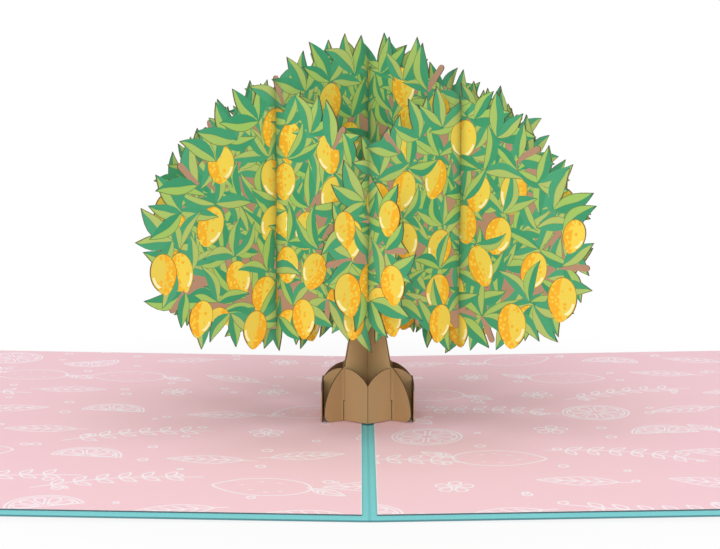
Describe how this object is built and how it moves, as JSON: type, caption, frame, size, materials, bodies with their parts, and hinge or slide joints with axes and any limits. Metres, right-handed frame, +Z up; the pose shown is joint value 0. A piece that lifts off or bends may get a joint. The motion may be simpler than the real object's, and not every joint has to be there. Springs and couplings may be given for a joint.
{
  "type": "pop-up card",
  "caption": "Greeting card lying open, with a lemon tree of slotted upright card sheets that stands over the fold in a scalloped planter.",
  "frame": {"origin": "under the middle of the fold, on the surface that the card lies on", "axes": "+X across the open wings to the right, +Y along the fold to the back, +Z up"},
  "size_m": [0.254, 0.178, 0.0998],
  "materials": {
    "cover_card": "matte teal card",
    "liner_paper": "matte pink paper with a fine white line print of leaves, fruit and blossoms",
    "foliage_print": "matte card printed with green leaves, yellow lemons and brown twigs on both faces",
    "planter_card": "matte tan card"
  },
  "bodies": {
    "root": {"cover": "cover_card", "liner_left": "liner_paper", "liner_right": "liner_paper", "tree_sheet_a": "foliage_print", "tree_sheet_b": "foliage_print", "crown_front_right": "foliage_print", "crown_front_left": "foliage_print", "crown_back_left": "foliage_print", "crown_back_right": "foliage_print", "planter_front": "planter_card", "planter_back": "planter_card"}
  },
  "joints": []
}
